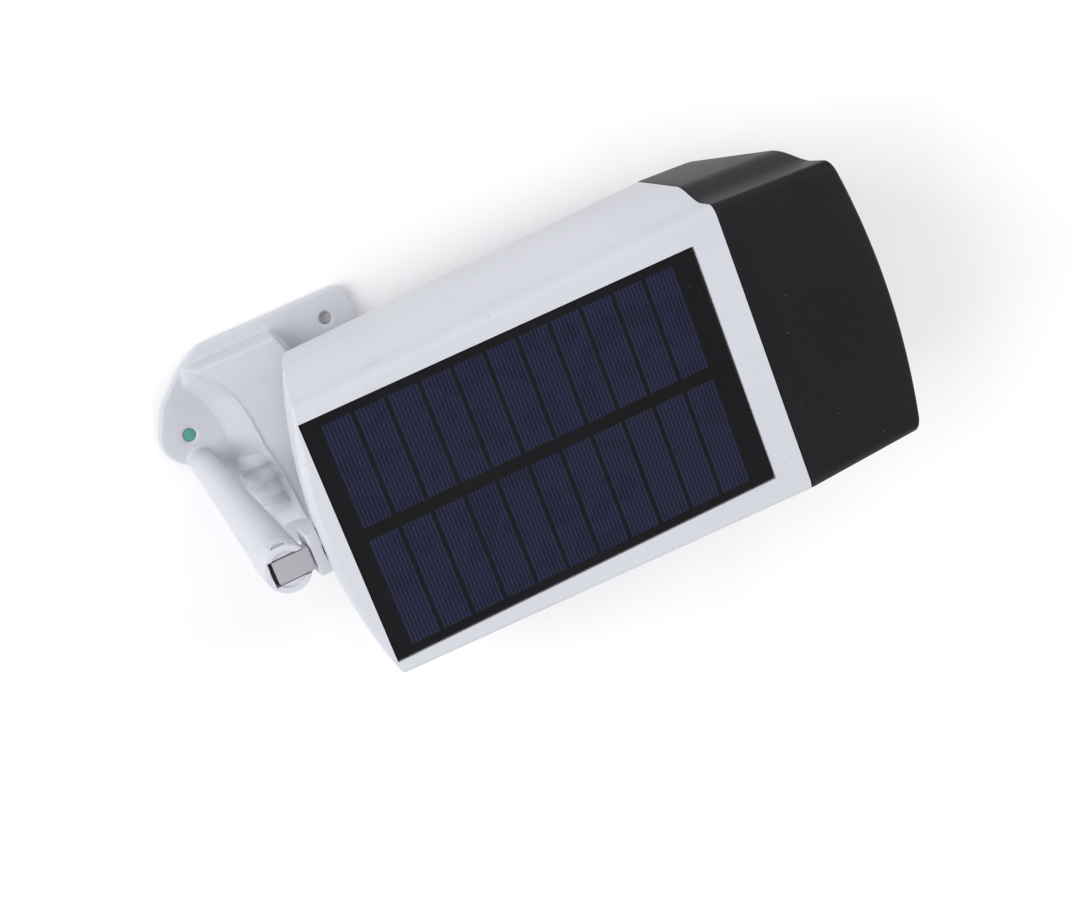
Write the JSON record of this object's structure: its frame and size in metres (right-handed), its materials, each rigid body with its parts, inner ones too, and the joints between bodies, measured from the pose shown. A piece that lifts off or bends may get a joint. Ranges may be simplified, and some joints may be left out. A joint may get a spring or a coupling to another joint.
{
  "type": "solar security camera",
  "caption": "Solar-powered security camera with a hooded front and a top solar panel, on a wall bracket whose joint pans and tilts it.",
  "frame": {"origin": "point on the wall bracket's back face, on the moulding's middle rib", "axes": "+Z out of the wall, +X towards the lens with both joints at rest, +Y to the camera's left"},
  "size_m": [0.193, 0.0972, 0.075],
  "materials": {
    "white_plastic": "satin moulded, slightly lavender white",
    "black_plastic": "satin black, fine moulded texture",
    "grey_plastic": "satin grey",
    "solar_cells": "navy cells under clear epoxy on black backing",
    "teal_plastic": "satin",
    "steel": "zinc plated",
    "black_rubber": "matt",
    "clear_glass": "polished, coated",
    "frosted_plastic": "frosted",
    "circuit_board": "solder mask",
    "battery_sleeve": "shrink sleeve",
    "lens_metal": "black anodised",
    "led_phosphor": "yellow phosphor",
    "wire_insulation": "PVC"
  },
  "bodies": {
    "bracket": {"wall_bracket": "white_plastic", "hole_plug": "teal_plastic", "pan_lock_screw": "steel"},
    "swivel": {"swivel_head": "white_plastic", "tilt_screw": "steel", "tilt_nut": "steel"},
    "camera": {"hinge_tongue": "grey_plastic", "hinge_flange": "white_plastic", "tongue_screw": "steel", "flange_screw_left": "steel", "flange_screw_right": "steel", "upper_shell": "white_plastic", "lower_shell": "white_plastic", "casing_gasket": "black_rubber", "casing_screw_1": "steel", "casing_screw_2": "steel", "casing_screw_3": "steel", "casing_screw_4": "steel", "front_hood": "black_plastic", "front_bezel": "black_plastic", "bezel_screw_left": "steel", "bezel_screw_right": "steel", "lens_window": "clear_glass", "lens_barrel": "lens_metal", "lens_front_element": "clear_glass", "lens_rear_element": "clear_glass", "camera_board": "circuit_board", "image_sensor": "black_plastic", "led_board": "circuit_board", "led_left_1": "led_phosphor", "led_left_2": "led_phosphor", "led_left_3": "led_phosphor", "led_right_1": "led_phosphor", "led_right_2": "led_phosphor", "led_right_3": "led_phosphor", "light_window_left": "frosted_plastic", "light_window_right": "frosted_plastic", "light_pipe": "frosted_plastic", "motion_sensor": "steel", "motion_dome": "frosted_plastic", "solar_panel": "solar_cells", "panel_pad": "black_rubber", "main_board": "circuit_board", "board_screw_1": "steel", "board_screw_2": "steel", "memory_card": "black_plastic", "charging_socket": "steel", "power_switch": "black_plastic", "battery_holder": "black_plastic", "battery_left": "battery_sleeve", "battery_right": "battery_sleeve", "speaker": "black_plastic", "antenna": "circuit_board", "panel_lead": "wire_insulation", "battery_lead": "wire_insulation"},
    "button": {"power_button": "black_rubber"},
    "flap": {"port_flap": "black_rubber"}
  },
  "joints": [
    {"name": "pan", "type": "hinge", "parent": "bracket", "child": "swivel", "pos_m": [-0.024, -0.02, 0.0605], "axis": [0, 0, 1], "range_deg": [-90, 90]},
    {"name": "tilt", "type": "hinge", "parent": "swivel", "child": "camera", "pos_m": [-0.024, -0.02, 0.0682], "axis": [0, -1, 0], "range_deg": [0, 100]},
    {"name": "power_press", "type": "slide", "parent": "camera", "child": "button", "axis": [0, 0, 1], "range_m": [0, 0.001], "stiffness_N_per_m": 400, "springref_m": -0.0005},
    {"name": "flap_open", "type": "hinge", "parent": "camera", "child": "flap", "pos_m": [0.0669, -0.02, 0.0162], "axis": [0, 1, 0], "range_deg": [0, 95]}
  ]
}
